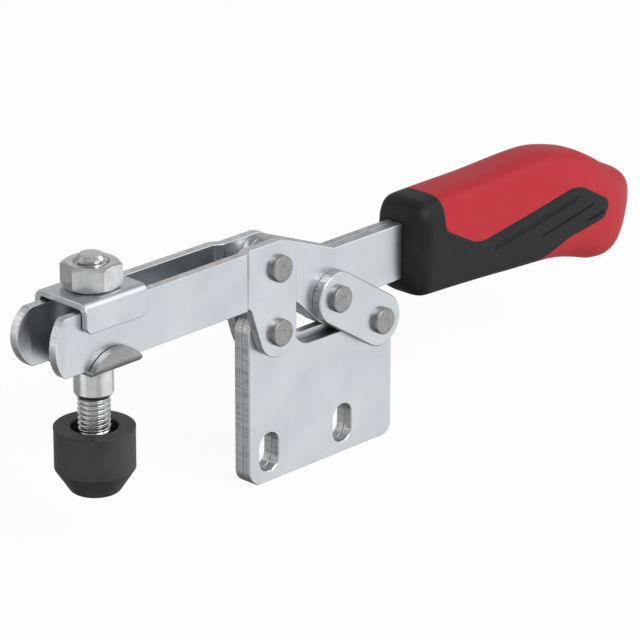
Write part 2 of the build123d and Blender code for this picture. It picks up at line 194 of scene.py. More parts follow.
def noise_group(name: str, inputs: Sequence[SocketRow], layers: Sequence[NoiseLayer]) -> Tree:
    """Builds a shader group that puts out one noise pattern for each layer.

    Args:
        name: the group's name.
        inputs: name, kind and default of each input after the place.
        layers: the patterns, of which the stretched ones are drawn out by the input Along.

    Returns:
        The group.
    """
    tree = bpy.data.node_groups.new(name, "ShaderNodeTree")
    add_sockets(tree, "INPUT", [("Vector", "Vector", None), *inputs])
    add_sockets(tree, "OUTPUT", [(layer.name, "Float", None) for layer in layers])
    wiring = Wiring(tree)
    given = wiring.add("NodeGroupInput").outputs
    patterns = {}
    for layer in layers:
        vector = given["Vector"]
        if layer.stretched:
            vector = wiring.add("ShaderNodeVectorMath", {0: vector, 1: given["Along"]},
                                operation="MULTIPLY").outputs["Vector"]
        scale = given[layer.scale] if isinstance(layer.scale, str) else layer.scale
        patterns[layer.name] = wiring.noise(vector, scale, layer.detail, layer.roughness)
    wiring.add("NodeGroupOutput", patterns)
    return tree


def geometry_tree(name: str, inputs: Sequence[SocketRow]) -> tuple[Wiring, Any]:
    """Starts a geometry tree that takes a base mesh and a material.

    Args:
        name: the tree's name.
        inputs: name, kind and default of each other input.

    Returns:
        The tree's wiring and the outputs of its input node.
    """
    tree = bpy.data.node_groups.new(name, "GeometryNodeTree")
    add_sockets(tree, "INPUT", [
        ("Geometry", "Geometry", None), *inputs, ("Material", "Material", None)])
    add_sockets(tree, "OUTPUT", [("Geometry", "Geometry", None)])
    wiring = Wiring(tree)
    return wiring, wiring.add("NodeGroupInput").outputs


def finish_tree(wiring: Wiring, given: Any, shape: Node) -> Tree:
    """Ends a geometry tree with real geometry in the piece's material.

    Args:
        wiring: the tree's wiring.
        given: the outputs of its input node.
        shape: the node that puts out the geometry.

    Returns:
        The tree.
    """
    real = wiring.add("GeometryNodeRealizeInstances", {0: shape})
    dressed = wiring.add("GeometryNodeSetMaterial", {
        "Geometry": real, "Material": given["Material"]})
    wiring.add("NodeGroupOutput", {"Geometry": dressed})
    return wiring.tree


def lathe_tree() -> Tree:
    """Builds the tree of a turned piece: the base mesh's profile, swept round an axis.

    The radius and height of each point are kept as an attribute, for rings in the finish.

    Returns:
        The tree.
    """
    wiring, given = geometry_tree("turned_piece", [
        ("Centre", "Vector", None), ("Turn", "Vector", None), ("Sweep Radius", "Float", 20 * MM),
        ("Segments", "Int", 96), ("Merge Distance", "Float", 0.002 * MM)])
    rim = wiring.add("GeometryNodeCurvePrimitiveCircle", {
        "Resolution": given["Segments"], "Radius": given["Sweep Radius"]})
    upright = wiring.add("GeometryNodeSetCurveNormal", {"Curve": rim}, mode="Z_UP")
    profile = wiring.add("GeometryNodeMeshToCurve", {"Mesh": given["Geometry"]})
    swept = wiring.add("GeometryNodeCurveToMesh", {"Curve": upright, "Profile Curve": profile})
    merged = wiring.add("GeometryNodeMergeByDistance", {
        "Geometry": swept, "Distance": given["Merge Distance"]})
    x, y, z = wiring.position()
    radius = wiring.maths("SQRT", wiring.maths("ADD", wiring.maths("POWER", x, 2.0),
                                               wiring.maths("POWER", y, 2.0)))
    turned = wiring.add("ShaderNodeCombineXYZ", {0: radius, 2: z})
    noted = wiring.add("GeometryNodeStoreNamedAttribute", {
        "Geometry": merged, "Name": TURNED, "Value": turned}, data_type="FLOAT_VECTOR")
    placed = wiring.add("GeometryNodeTransform", {
        "Geometry": noted, "Translation": given["Centre"], "Rotation": given["Turn"]})
    return finish_tree(wiring, given, placed)


def thread_tree() -> Tree:
    """Builds the tree of a threaded rod along Z: a fine tube whose radius follows the thread.

    The thread runs from a plain foot to a chamfered tip. Crest Form and Root Form say how far up
    the flank the crest's flat starts and the root's flat ends, from 0 at the root to 1.

    Returns:
        The tree.
    """
    wiring, given = geometry_tree("threaded_rod", [
        ("Centre", "Vector", None), ("Length", "Float", 50 * MM), ("Rows", "Int", 400),
        ("Facets", "Int", 80), ("Pitch", "Float", 1.25 * MM), ("Crest Radius", "Float", 3.95 * MM),
        ("Root Radius", "Float", 3.2 * MM), ("Root Form", "Float", 0.2),
        ("Crest Form", "Float", 0.78), ("Tip Chamfer", "Float", 1.2 * MM),
        ("Plain Foot", "Float", 2.0 * MM), ("Foot Radius", "Float", 3.7 * MM),
        ("Run In", "Float", 1.0 * MM)])
    crest, root, length = given["Crest Radius"], given["Root Radius"], given["Length"]
    rod = wiring.add("GeometryNodeMeshCylinder", {
        "Vertices": given["Facets"], "Side Segments": given["Rows"], "Fill Segments": 1,
        "Radius": 1.0, "Depth": length})
    x, y, z = wiring.position()
    above_foot = wiring.maths("ADD", z, wiring.maths("MULTIPLY", length, 0.5))
    below_tip = wiring.maths("SUBTRACT", length, above_foot)
    turn = wiring.maths("DIVIDE", wiring.maths("ARCTAN2", y, x), 2 * math.pi)
    pitches = wiring.maths("DIVIDE", above_foot, given["Pitch"])
    phase = wiring.maths("FRACT", wiring.maths("SUBTRACT", pitches, turn))
    signed = wiring.maths("SUBTRACT", wiring.maths("MULTIPLY", phase, 2.0), 1.0)
    flank = wiring.maths("SUBTRACT", 1.0, wiring.maths("ABSOLUTE", signed))
    form = wiring.spread(flank, (given["Root Form"], given["Crest Form"]))
    cut = wiring.maths("ADD", root, wiring.maths("MULTIPLY", form, wiring.maths(
        "SUBTRACT", crest, root)))
    tip_radius = wiring.maths("SUBTRACT", crest, given["Tip Chamfer"])
    trimmed = wiring.maths("MINIMUM", cut, wiring.maths("ADD", tip_radius, below_tip))
    above_neck = wiring.maths("SUBTRACT", above_foot, given["Plain Foot"])
    run_in = wiring.spread(above_neck, (0.0, given["Run In"]))
    foot = wiring.maths("MULTIPLY", given["Foot Radius"], wiring.maths("SUBTRACT", 1.0, run_in))
    radius = wiring.maths("ADD", foot, wiring.maths("MULTIPLY", trimmed, run_in))
    spun = wiring.add("ShaderNodeCombineXYZ", {
        0: wiring.maths("MULTIPLY", x, radius), 1: wiring.maths("MULTIPLY", y, radius), 2: z})
    shaped = wiring.add("GeometryNodeSetPosition", {
        "Geometry": rod.outputs["Mesh"], "Position": spun})
    placed = wiring.add("GeometryNodeTransform", {
        "Geometry": shaped, "Translation": given["Centre"]})
    return finish_tree(wiring, given, placed)


def groove_tree() -> Tree:
    """Builds the tree of a round tool along the base mesh's path, thin at both ends.

    Returns:
        The tree.
    """
    wiring, given = geometry_tree("groove_tool", [
        ("Tool Radius", "Float", 1.0 * MM), ("End Taper", "Float", 0.04),
        ("Least Opening", "Float", 0.02), ("Points", "Int", 60), ("Sides", "Int", 20)])
    path = wiring.add("GeometryNodeMeshToCurve", {"Mesh": given["Geometry"]})
    fine = wiring.add("GeometryNodeResampleCurve", {"Curve": path, "Count": given["Points"]})
    along = wiring.add("GeometryNodeSplineParameter").outputs["Factor"]
    from_end = wiring.maths("MINIMUM", along, wiring.maths("SUBTRACT", 1.0, along))
    opening = wiring.spread(wiring.maths("DIVIDE", from_end, given["End Taper"]), UNIT)
    rounding = wiring.maths("SQRT", wiring.maths("ADD", opening, given["Least Opening"]))
    sized = wiring.add("GeometryNodeSetCurveRadius", {
        "Curve": fine, "Radius": wiring.maths(
            "MULTIPLY", rounding, given["Tool Radius"])})
    outline = wiring.add("GeometryNodeCurvePrimitiveCircle", {
        "Resolution": given["Sides"], "Radius": 1.0})
    swept = wiring.add("GeometryNodeCurveToMesh", {
        "Curve": sized, "Profile Curve": outline, "Fill Caps": True,
        "Scale": wiring.add("GeometryNodeInputRadius").outputs[0]})
    return finish_tree(wiring, given, swept)


class Trees:
    """The node trees that several finishes or pieces share, each built once."""

    brushed: Tree
    grain: Tree
    lathe: Tree
    thread: Tree
    groove: Tree

    @classmethod
    def build(cls) -> None:
        """Builds the patterns of worked steel and of moulded surfaces, and the forms' trees."""
        cls.brushed = noise_group("brushed_metal", [
            ("Along", "Vector", (60.0, 900.0, 900.0)), ("Cloud Scale", "Float", 90.0)], [
            NoiseLayer("Lines", 1.0, 3.0, 0.6, stretched=True),
            NoiseLayer("Clouds", "Cloud Scale", 4.0, 0.55),
            NoiseLayer("Specks", 2600.0, 2.0, 0.5)])
        cls.grain = noise_group("moulded_grain", [
            ("Grain Scale", "Float", 2400.0), ("Scuff Scale", "Float", 140.0)], [
            NoiseLayer("Grain", "Grain Scale", 3.0, 0.6),
            NoiseLayer("Scuffs", "Scuff Scale", 5.0, 0.65)])
        cls.lathe, cls.thread, cls.groove = lathe_tree(), thread_tree(), groove_tree()


# Finishes
FINISHES: dict[str, Material] = {}


@dataclass(frozen=True)
class Finish:
    """A surface in two tones, whose roughness and fine relief follow one shared effect.

    Tone, wear and relief each add up patterns of the effect, given by name and share. The ranges
    of tone and wear are then spread from 0 to 1, and without a wear of its own the roughness
    follows the tone. Rings, with a scale and a detail, go round a turned piece's axis.
    """

    name: str
    dark: Colour
    light: Colour
    roughness: Range
    relief_height: float
    effect: str
    tone: Mix
    tone_range: Range
    relief: Mix
    wear: Mix = ()
    wear_range: Range = UNIT
    settings: tuple[tuple[str, Any], ...] = ()
    rings: Range | None = None
    metallic: float = 1.0
    specular: float = 0.5

    def make(self) -> None:
        """Makes the finish's material and keeps it under the finish's name."""
        material = FINISHES[self.name] = bpy.data.materials.new(self.name)
        wiring = empty_tree(material)
        place = wiring.add("ShaderNodeTexCoord").outputs["Object"]
        patterns = dict(wiring.add("ShaderNodeGroup", {"Vector": place, **dict(self.settings)},
                                   node_tree=getattr(Trees, self.effect)).outputs.items())
        if self.rings:
            turned = wiring.add("ShaderNodeAttribute", attribute_name=TURNED).outputs["Vector"]
            patterns["Rings"] = wiring.noise(turned, *self.rings)
        tone = wear = wiring.spread(wiring.mixed(patterns, self.tone), self.tone_range)
        if self.wear:
            wear = wiring.spread(wiring.mixed(patterns, self.wear), self.wear_range)
        colour = wiring.add("ShaderNodeMix", {
            0: tone, 6: (*self.dark, 1.0), 7: (*self.light, 1.0)}, data_type="RGBA")
        bump = wiring.add("ShaderNodeBump", {
            "Height": wiring.mixed(patterns, self.relief), "Distance": self.relief_height,
            "Strength": 1.0})
        shader = wiring.add("ShaderNodeBsdfPrincipled", {
            "Base Color": colour.outputs[2], "Metallic": self.metallic,
            "Roughness": wiring.spread(wear, UNIT, self.roughness),
            "Specular IOR Level": self.specular, "Normal": bump})
        wiring.add("ShaderNodeOutputMaterial", {"Surface": shader})


@dataclass(frozen=True)
class PlatedSteel(Finish):
    """Zinc-plated steel: satin, slightly blue, with drawn lines and soft clouds."""

    dark: Colour = (0.61, 0.645, 0.67)
    light: Colour = (0.69, 0.725, 0.75)
    roughness: Range = (0.28, 0.32)
    relief_height: float = 0.0003 * MM
    effect: str = "brushed"
    settings: tuple[tuple[str, Any], ...] = (("Along", DRAWN), ("Cloud Scale", 90.0))
    tone: Mix = (("Clouds", 1.0),)
    tone_range: Range = (0.32, 0.68)
    wear: Mix = (("Lines", 1.0),)
    wear_range: Range = (0.3, 0.7)
    relief: Mix = (("Lines", 1.0), ("Specks", 0.6))


@dataclass(frozen=True)
class ShearedSteel(Finish):
    """The cut edge of a pressed plate, streaked across the sheet by the press tool."""

    dark: Colour = (0.38, 0.385, 0.39)
    light: Colour = (0.70, 0.71, 0.715)
    roughness: Range = (0.48, 0.30)
    relief_height: float = 0.01 * MM
    effect: str = "brushed"
    settings: tuple[tuple[str, Any], ...] = (("Along", STREAKED), ("Cloud Scale", 420.0))
    tone: Mix = (("Lines", 0.7), ("Clouds", 0.3))
    tone_range: Range = (0.36, 0.64)
    relief: Mix = tone


@dataclass(frozen=True)
class TurnedSteel(Finish):
    """Turned steel, with rings round its axis."""

    dark: Colour = (0.27, 0.267, 0.262)
    light: Colour = (0.43, 0.425, 0.42)
    roughness: Range = (0.44, 0.30)
    relief_height: float = 0.006 * MM
    effect: str = "brushed"
    settings: tuple[tuple[str, Any], ...] = (("Cloud Scale", 500.0),)
    rings: Range | None = (5200.0, 2.0)
    tone: Mix = (("Rings", 0.6), ("Clouds", 0.4))
    tone_range: Range = (0.35, 0.65)
    relief: Mix = (("Rings", 1.0),)


@dataclass(frozen=True)
class Moulding(Finish):
    """Moulded rubber or plastic, with a fine grain and faint scuffs."""

    relief_height: float = 0.01 * MM
    effect: str = "grain"
    tone: Mix = (("Scuffs", 1.0),)
    tone_range: Range = (0.42, 0.72)
    relief: Mix = (("Grain", 1.0),)
    metallic: float = 0.0


PALETTE: tuple[Finish, ...] = (
    PlatedSteel("plated_sheet"),
    # The rolled edge is lighter in colour than the face: a painted highlight along the rounded
    # edges. Its lower roughness is its own.
    PlatedSteel("rolled_edge_painted_highlight", (0.68, 0.70, 0.71), (0.80, 0.82, 0.83), (0.24, 0.28)),
    PlatedSteel("plated_thread", (0.60, 0.61, 0.615), (0.78, 0.79, 0.795), (0.18, 0.22),
                settings=(("Along", DRAWN), ("Cloud Scale", 260.0))),
    PlatedSteel("seat_steel", (0.30, 0.30, 0.295), (0.44, 0.44, 0.435)),
    ShearedSteel("sheared_edge"),
    ShearedSteel("trimmed_edge", (0.56, 0.565, 0.57), (0.86, 0.87, 0.875), (0.42, 0.24)),
    TurnedSteel("turned_pin"), TurnedSteel("bush_steel"),
    Moulding("cap_rubber", (0.026, 0.027, 0.027), (0.042, 0.043, 0.043), (0.48, 0.58),
             rings=(1500.0, 3.0), relief=(("Grain", 1.0), ("Rings", 1.6))),
    Moulding("grip_red", (0.48, 0.011, 0.021), (0.50, 0.018, 0.028), (0.44, 0.54),
             specular=0.36),
    Moulding("grip_black", (0.009, 0.01, 0.0105), (0.016, 0.0175, 0.018), (0.46, 0.56),
             specular=0.26))


# Making meshes
def new_object(name: str, mesh: bpy.types.Mesh) -> Object:
    """Makes an object of a mesh and links it to the scene.

    Args:
        name: the object's name.
        mesh: its mesh.

    Returns:
        The object.
    """
    piece = bpy.data.objects.new(name, mesh)
    bpy.context.scene.collection.objects.link(piece)
    return piece


def from_bmesh(name: str, shape: bmesh.types.BMesh) -> Object:
    """Turns a bmesh into an object and frees it.

    Args:
        name: the object's name.
        shape: the bmesh.

    Returns:
        The object.
    """
    mesh = bpy.data.meshes.new(name)
    shape.to_mesh(mesh)
    shape.free()
    return new_object(name, mesh)


def bake(piece: Object) -> Object:
    """Turns an object with modifiers into a plain mesh with the same name.

    Args:
        piece: the object, which loses its modifiers.

    Returns:
        The same object.
    """
    bpy.context.view_layer.update()
    graph = bpy.context.evaluated_depsgraph_get()
    mesh = bpy.data.meshes.new_from_object(piece.evaluated_get(graph))
    piece.modifiers.clear()
    old = piece.data
    piece.data = mesh
    bpy.data.meshes.remove(old)
    mesh.name = piece.name
    return piece


def grow(name: str, base: bpy.types.Mesh, tree: Tree, inputs: dict[str, Any]) -> Object:
    """Runs a geometry tree on a base mesh and bakes the result.

    Args:
        name: the piece's name.
        base: the mesh that the tree starts from.
        tree: the geometry tree.
        inputs: value of each named input.

    Returns:
        The baked piece.
    """
    piece = new_object(name, base)
    modifier = piece.modifiers.new("form", "NODES")
    modifier.node_group = tree
    sockets = {item.name: item.identifier for item in tree.interface.items_tree
               if item.item_type == "SOCKET" and item.in_out == "INPUT"}
    for label, value in inputs.items():
        modifier[sockets[label]] = value
    return bake(piece)


def tidy_normals(piece: Object, sharp: float) -> Object:
    """Points a piece's faces outwards and shades it smooth.

    Args:
        piece: the piece.
        sharp: angle in degrees from which an edge stays sharp.

    Returns:
        The same piece.
    """
    shape = bmesh.new()
    shape.from_mesh(piece.data)
    bmesh.ops.recalc_face_normals(shape, faces=shape.faces)
    shape.to_mesh(piece.data)
    shape.free()
    piece.data.shade_smooth()
    piece.data.set_sharp_from_angle(angle=math.radians(sharp))
    return piece


def weigh_normals(piece: Object) -> Object:
    """Keeps a piece's broad faces flat-shaded beside narrow rounded ones."""
    piece.modifiers.new("even", "WEIGHTED_NORMAL").keep_sharp = True
    return bake(piece)


def round_edges(piece: Object, width: float, sharp: float, surface: int = -1) -> Object:
    """Rounds a piece's sharp edges.

    Args:
        piece: the piece.
        width: width of the rounding.
        sharp: angle in degrees from which an edge is rounded.
        surface: material slot of the rounding, or -1 for that of the faces beside it.

    Returns:
        The same piece.
    """
    bevel = piece.modifiers.new("rounded", "BEVEL")
    bevel.width, bevel.segments = width, 2
    bevel.limit_method, bevel.angle_limit = "ANGLE", math.radians(sharp)
    bevel.material = surface
    return bake(piece)


def tumble(piece: Object, width: float, sharp: float, surface: int = -1) -> Object:
    """Rounds a metal piece's edges and shades it, with its arguments as round_edges has them."""
    return weigh_normals(tidy_normals(round_edges(piece, width, sharp, surface), TUMBLED_SHARP))


def polyline_mesh(name: str, points: Iterable[Sequence[float]]) -> bpy.types.Mesh:
    """Makes a mesh of edges through points.

    Args:
        name: the mesh's name.
        points: the points, in order.

    Returns:
        The mesh.
    """
    corners = [tuple(point) for point in points]
    mesh = bpy.data.meshes.new(name)
    mesh.from_pydata(corners, [(k, k + 1) for k in range(len(corners) - 1)], [])
    return mesh


def rounded(points: Sequence[Point2], radii: dict[int, float], steps: int = 4,
            closed: bool = False) -> list[Point2]:
    """Rounds some corners of a flat outline with arcs.

    Args:
        points: the outline's corners.
        radii: radius for each rounded corner, by its number.
        steps: segments in each arc.
        closed: whether the last corner joins the first.

    Returns:
        The outline with each rounded corner replaced by its arc.
    """
    result: list[Point2] = []
    count = len(points)
    for k, point in enumerate(points):
        if k not in radii or (not closed and k in (0, count - 1)):
            result.append(point)
            continue
        corner = Vector(point)
        back = (Vector(points[k - 1]) - corner).normalized()
        ahead = (Vector(points[(k + 1) % count]) - corner).normalized()
        half = math.acos(max(-1.0, min(1.0, back.dot(ahead)))) / 2
        reach = radii[k] / math.tan(half)
        centre = corner + (back + ahead).normalized() * (radii[k] / math.sin(half))
        first, last = corner + back * reach - centre, corner + ahead * reach - centre
        sweep = math.atan2(first.x * last.y - first.y * last.x, first.dot(last))
        for step in range(steps + 1):
            cos, sin = math.cos(sweep * step / steps), math.sin(sweep * step / steps)
            result.append((centre.x + first.x * cos - first.y * sin,
                           centre.y + first.x * sin + first.y * cos))
    return result


def lathe(name: str, profile: Sequence[Point2], centre: Vector,
          axis_turn: tuple[float, float, float], finish: str, segments: int) -> Object:
    """Turns a profile round an axis through a point.

    Args:
        name: the piece's name.
        profile: radius and height of each point, from one pole to the other.
        centre: the point that height 0 of the axis goes through.
        axis_turn: rotation from Z to the axis.
        finish: the name of the piece's finish.
        segments: facets round the axis.

    Returns:
        The turned piece.
    """
    sweep_radius = 20 * MM
    base = polyline_mesh(name, [(radius - sweep_radius, -height, 0.0)
                                for radius, height in profile])
    piece = grow(name, base, Trees.lathe, {
        "Centre": centre, "Turn": axis_turn, "Sweep Radius": sweep_radius, "Segments": segments,
        "Material": FINISHES[finish]})
    return weigh_normals(tidy_normals(piece, TURNED_SHARP))


def copy_of_node(node: str, suffix: str, *finishes: str) -> Object:
    """Copies a solid's mesh, with its loose triangles merged and its flat faces joined up.

    Args:
        node: the solid.
        suffix: what the copy's name adds to the node's.
        finishes: names of the copy's finishes, in the order of its slots.

    Returns:
        The copy.
    """
    shape = bmesh.new()
    shape.from_mesh(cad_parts[node].data)
    bmesh.ops.remove_doubles(shape, verts=shape.verts, dist=0.001 * MM)
    bmesh.ops.dissolve_limit(shape, angle_limit=math.radians(0.4), verts=shape.verts,
                             edges=shape.edges)
    piece = from_bmesh(f"{node}_{suffix}", shape)
    if "custom_normal" in piece.data.attributes:
        piece.data.attributes.remove(piece.data.attributes["custom_normal"])
    for finish in finishes:
        piece.data.materials.append(FINISHES[finish])
    return piece


def dress(piece: Object, body: str, node: str) -> None:
    """Lets a finished piece ride on its body and stand for its solid.

    Args:
        piece: the piece.
        body: the body that it rides on.
        node: the solid that it stands for.
    """
    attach(piece, body)
    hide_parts(node)
    log.info("%s: %d faces, rides on %s", piece.name, len(piece.data.polygons), body)


class Side(IntEnum):
    """The two sides of the clamp, as the sign of Y."""

    NEAR = -1
    FAR = 1


# Pressed plates
class SheetSurface(IntEnum):
    """The surfaces of a pressed plate, in the order of its material slots."""

    FACE = 0
    SHEARED = 1
    ROLLED = 2


@dataclass
class Plates:
    """The pressed plates of the linkage: the solids with tumbled edges and told-apart surfaces.

    They come in pairs, each with its body, the rounding of its edges and its cut edges' finish.
    """

    pairs: dict[str, tuple[str, float, str]] = field(default_factory=lambda: {
        "base_plate": ("base", 0.12 * MM, "sheared_edge"),
        "arm_strip": ("arm", 0.35 * MM, "trimmed_edge"),
        "lever_plate": ("lever", 0.12 * MM, "sheared_edge"),
        "link": ("link", 0.12 * MM, "sheared_edge")})
    edge_angle: float = 32.0
    broad_side: float = 0.5

    def build(self) -> None:
        """Builds the eight plates."""
        for stem, (body, edge_round, cut_edge) in self.pairs.items():
            for side in Side:
                node = f"{stem}_{side.name.lower()}"
                piece = copy_of_node(node, "pressed", "plated_sheet", cut_edge, "rolled_edge_painted_highlight")
                for face in piece.data.polygons:
                    broad = abs(face.normal.y) > self.broad_side
                    face.material_index = SheetSurface.FACE if broad else SheetSurface.SHEARED
                # The rounding takes the rolled-edge finish, whose lighter colour is a painted
                # highlight along the edges.
                tumble(piece, edge_round, self.edge_angle, int(SheetSurface.ROLLED))
                dress(piece, body, node)


# Riveted pivots
@dataclass
class Pivots:
    """The four riveted pins and the bushes that they turn in."""

    bodies: dict[str, str] = field(default_factory=lambda: {
        "arm_pin": "arm", "lever_pin": "arm", "knuckle_pin": "link", "link_pin": "link"})
    bushes: tuple[str, ...] = ("arm_bush", "link_bush", "knuckle_bush")
    shank_radius: float = 2.5 * MM
    head_height: float = 1.5 * MM
    edge_round: float = 0.42 * MM
    dimple_radius: float = 0.75 * MM
    dimple_rim: float = 1.125 * MM
    dimple_depth: float = 0.12 * MM
    dimple_round: float = 0.15 * MM
    segments: int = 72

    def profile(self, head_radius: float, half_length: float) -> list[Point2]:
        """Draws the profile of a pin from one dimpled face to the other.

        Args:
            head_radius: radius of both heads.
            half_length: half of the length over both heads.

        Returns:
            Radius and height of each point.
        """
        under_head, dimple = half_length - self.head_height, half_length - self.dimple_depth
        upper = rounded([(0.0, dimple), (self.dimple_radius, dimple),
                         (self.dimple_rim, half_length), (head_radius, half_length),
                         (head_radius, under_head), (self.shank_radius, under_head)],
                        {1: self.dimple_round, 2: self.dimple_round, 3: self.edge_round})
        return upper + [(radius, -height) for radius, height in reversed(upper)]

    def build(self) -> None:
        """Builds the pins, and gives the bushes, which are shown as they are, their finish."""
        for node, body in self.bodies.items():
            low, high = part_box(node)
            profile = self.profile((high.z - low.z) / 2, (high.y - low.y) / 2)
            piece = lathe(f"{node}_riveted", profile, (low + high) / 2, (math.pi / 2, 0.0, 0.0),
                          "turned_pin", self.segments)
            dress(piece, body, node)
        for node in self.bushes:
            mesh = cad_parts[node].data
            mesh.materials.clear()
            mesh.materials.append(FINISHES["bush_steel"])
            log.info("%s: shown as its solid", node)


# Clamping screw
@dataclass
class ClampingScrew:
    """The threaded spindle with its saddle, seat, collar, nut and pressure cap.

    The cap's profile runs from its foot up a cone and a wall to a fine band at the top, and down
    into the recess. Its rounds are listed by the number of the profile's corner.
    """

    pitch: float = 1.25 * MM
    crest_radius: float = 3.94 * MM
    root_radius: float = 3.1 * MM
    neck_length: float = 4.3 * MM
    neck_radius: float = 3.85 * MM
    tip_chamfer: float = 1.2 * MM
    head_height: float = 5.3 * MM
    rows_per_turn: int = 16
    thread_sharp: float = 85.0
    fold_round: float = 0.3 * MM
    fold_angle: float = 40.0
    turned_round: float = 0.12 * MM
    turned_angle: float = 25.0
    cap_radius: float = 9.85 * MM
    cap_foot_radius: float = 5.9 * MM
    cap_wall_height: float = 10.5 * MM
    cap_recess_radius: float = 5.7 * MM
    cap_recess_depth: float = 5.4 * MM
    cap_band_step: float = 0.12 * MM
    cap_band_foot: float = 0.5 * MM
    cap_band_top: float = 0.2 * MM
    cap_top_inset: float = 0.25 * MM
    cap_rounds: dict[int, float] = field(default_factory=lambda: {
        1: 1.4 * MM, 2: 0.7 * MM, 3: 0.4 * MM, 4: 0.2 * MM, 5: 0.15 * MM, 6: 0.35 * MM})
    cap_segments: int = 128

    def spindle(self) -> None:
        """Builds the threaded spindle and the hexagon head inside the cap."""
        low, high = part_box("spindle")
        centre = (low + high) / 2
        foot = low.z + self.head_height
        length = high.z - foot
        base = polyline_mesh("spindle_threaded", [(0, 0, 0), (0, 0, 1)])
        rod = grow("spindle_threaded", base, Trees.thread, {
            "Centre": Vector((centre.x, centre.y, foot + length / 2)), "Length": length,
            "Rows": round(length / self.pitch * self.rows_per_turn), "Pitch": self.pitch,
            "Crest Radius": self.crest_radius, "Root Radius": self.root_radius,
            "Tip Chamfer": self.tip_chamfer, "Plain Foot": self.neck_length,
            "Foot Radius": self.neck_radius, "Material": FINISHES["plated_thread"]})
        shape = bmesh.new()
        shape.from_mesh(rod.data)
        corner = (high.x - low.x) / 2
        head = Matrix.Translation((centre.x, centre.y, low.z + self.head_height / 2))
        bmesh.ops.create_cone(shape, cap_ends=True, segments=6, radius1=corner, radius2=corner,
                              depth=self.head_height, matrix=head @ Matrix.Rotation(
                                  math.pi / 2, 4, "Z"))
        shape.to_mesh(rod.data)
        shape.free()
        tidy_normals(rod, self.thread_sharp)
        self.sharpen_tip(rod.data, high.z)
        dress(rod, "spindle", "spindle")

    def sharpen_tip(self, mesh: bpy.types.Mesh, top: float) -> None:
        """Marks the edges of the flat at the spindle's tip sharp.

        Args:
            mesh: the spindle's mesh.
            top: height of the tip.
        """
        for face in mesh.polygons:
            if face.normal.z > 0.99 and face.center.z > top - 0.01 * MM:
                for loop in face.loop_indices:
                    mesh.edges[mesh.loops[loop].edge_index].use_edge_sharp = True

    def cap(self) -> None:
        """Builds the rubber cap with its recess round the spindle."""
        low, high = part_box("pressure_cap")
        top = high.z - low.z
        wall, floor = self.cap_radius - self.cap_band_step, top - self.cap_recess_depth
        profile = rounded([
            (0.0, 0.0), (self.cap_foot_radius, 0.0), (wall, top - self.cap_wall_height),
            (wall, top - self.cap_band_foot), (self.cap_radius, top - self.cap_band_top),
            (self.cap_radius - self.cap_top_inset, top), (self.cap_recess_radius, top),
            (self.cap_recess_radius, floor), (0.0, floor)], self.cap_rounds)
        centre = Vector(((low.x + high.x) / 2, 0.0, low.z))
        piece = lathe("pressure_cap_moulded", profile, centre, (0.0, 0.0, 0.0), "cap_rubber",
                      self.cap_segments)
        dress(piece, "spindle", "pressure_cap")

    def build(self) -> None:
        """Builds every piece of the clamping screw."""
        self.spindle()
        self.cap()
        fold, turned = (self.fold_round, self.fold_angle), (self.turned_round, self.turned_angle)
        for node, suffix, finish, slot, edges in (
                ("upper_saddle", "folded", "plated_sheet", "plated_sheet", fold),
                ("lower_seat", "folded", "seat_steel", "plated_sheet", fold),
                ("threaded_collar", "plated", "plated_thread", "plated_thread", turned),
                ("hex_nut", "plated", "plated_thread", "plated_thread", turned)):
            dress(tumble(copy_of_node(node, suffix, finish), *edges), "carriage", node)


# Handle
class Cut(Enum):
    """What a tool leaves of a piece."""

    OUTSIDE = "DIFFERENCE"
    INSIDE = "INTERSECT"


@dataclass(frozen=True)
class Section:
    """One section of the grip, in millimetres from the arm's pivot."""

    back: float
    low: float
    high: float
    half_width: float
    squareness: float


@dataclass(frozen=True)
class Closure:
    """How one side of the grip draws in towards its rear end, in millimetres."""

    start: float
    fullness: float

    def share(self, back: float, rear: float) -> float:
        """Returns how much of the full size is left at a distance behind the arm's pivot."""
        run = min(1.0, max(0.0, (back - self.start) / (rear - self.start)))
        return (1 - run**self.fullness) ** (1 / self.fullness)


